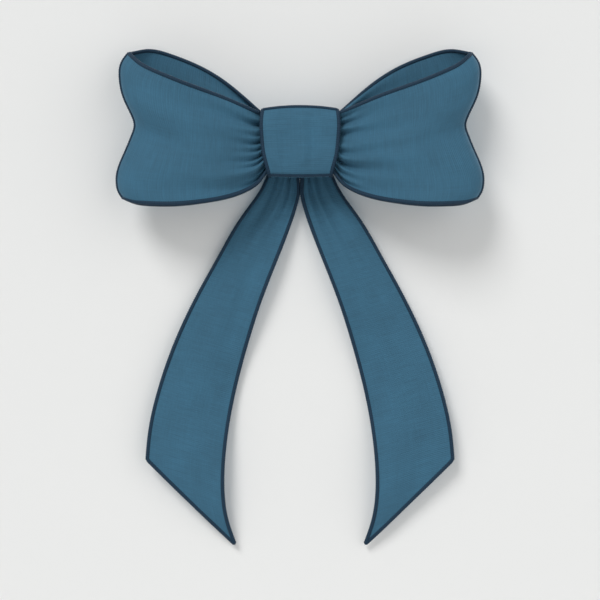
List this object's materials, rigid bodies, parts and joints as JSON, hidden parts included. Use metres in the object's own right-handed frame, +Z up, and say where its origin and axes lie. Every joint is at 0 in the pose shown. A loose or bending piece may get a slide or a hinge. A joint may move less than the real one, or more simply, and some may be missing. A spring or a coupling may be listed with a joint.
{
  "type": "gift bow",
  "caption": "Pre-made wire-edged ribbon bow with two wide loops, a gathered knot band, two slant-cut tails and an adhesive back.",
  "frame": {"origin": "centre of the adhesive pad's back face, level with the centre of the knot", "axes": "+X to the right seen from the front, +Y back towards the gift, +Z up towards the top of the loops"},
  "size_m": [0.2396, 0.0449, 0.3309],
  "materials": {
    "ribbon": "matte steel-blue woven ribbon with a fine rib",
    "edging_thread": "dark navy overlock stitching",
    "edge_wire": "thin drawn wire",
    "binding_wire": "thin drawn wire",
    "backing_felt": "matte felt",
    "foam_pad": "white adhesive foam"
  },
  "bodies": {
    "knot": {"centre_band": "ribbon", "band_left_edging": "edging_thread", "band_right_edging": "edging_thread", "band_left_wire": "edge_wire", "band_right_wire": "edge_wire", "band_upper_fold_stitching": "edging_thread", "band_lower_fold_stitching": "edging_thread", "loop_waist": "ribbon", "binding_wire": "binding_wire", "tail_fold": "ribbon", "backing_patch": "backing_felt", "adhesive_pad": "foam_pad"},
    "left_loop": {"left_loop": "ribbon", "left_loop_upper_edging": "edging_thread", "left_loop_lower_edging": "edging_thread", "left_loop_upper_wire": "edge_wire", "left_loop_lower_wire": "edge_wire", "left_loop_fold_stitching": "edging_thread"},
    "right_loop": {"right_loop": "ribbon", "right_loop_upper_edging": "edging_thread", "right_loop_lower_edging": "edging_thread", "right_loop_upper_wire": "edge_wire", "right_loop_lower_wire": "edge_wire", "right_loop_fold_stitching": "edging_thread"},
    "left_tail": {"left_tail": "ribbon", "left_tail_edging": "edging_thread", "left_tail_outer_wire": "edge_wire", "left_tail_inner_wire": "edge_wire"},
    "right_tail": {"right_tail": "ribbon", "right_tail_edging": "edging_thread", "right_tail_outer_wire": "edge_wire", "right_tail_inner_wire": "edge_wire"}
  },
  "joints": [
    {"name": "left_loop_fold", "type": "hinge", "parent": "knot", "child": "left_loop", "pos_m": [-0.025, -0.0191, 0], "axis": [0, 0, 1], "range_deg": [0, 22]},
    {"name": "right_loop_fold", "type": "hinge", "parent": "knot", "child": "right_loop", "pos_m": [0.025, -0.0191, 0], "axis": [0, 0, -1], "range_deg": [0, 22]},
    {"name": "left_tail_lift", "type": "hinge", "parent": "knot", "child": "left_tail", "pos_m": [0, -0.0046, -0.026], "axis": [-1, 0, 0], "range_deg": [0, 40]},
    {"name": "right_tail_lift", "type": "hinge", "parent": "knot", "child": "right_tail", "pos_m": [0, -0.0046, -0.026], "axis": [-1, 0, 0], "range_deg": [0, 40]}
  ]
}
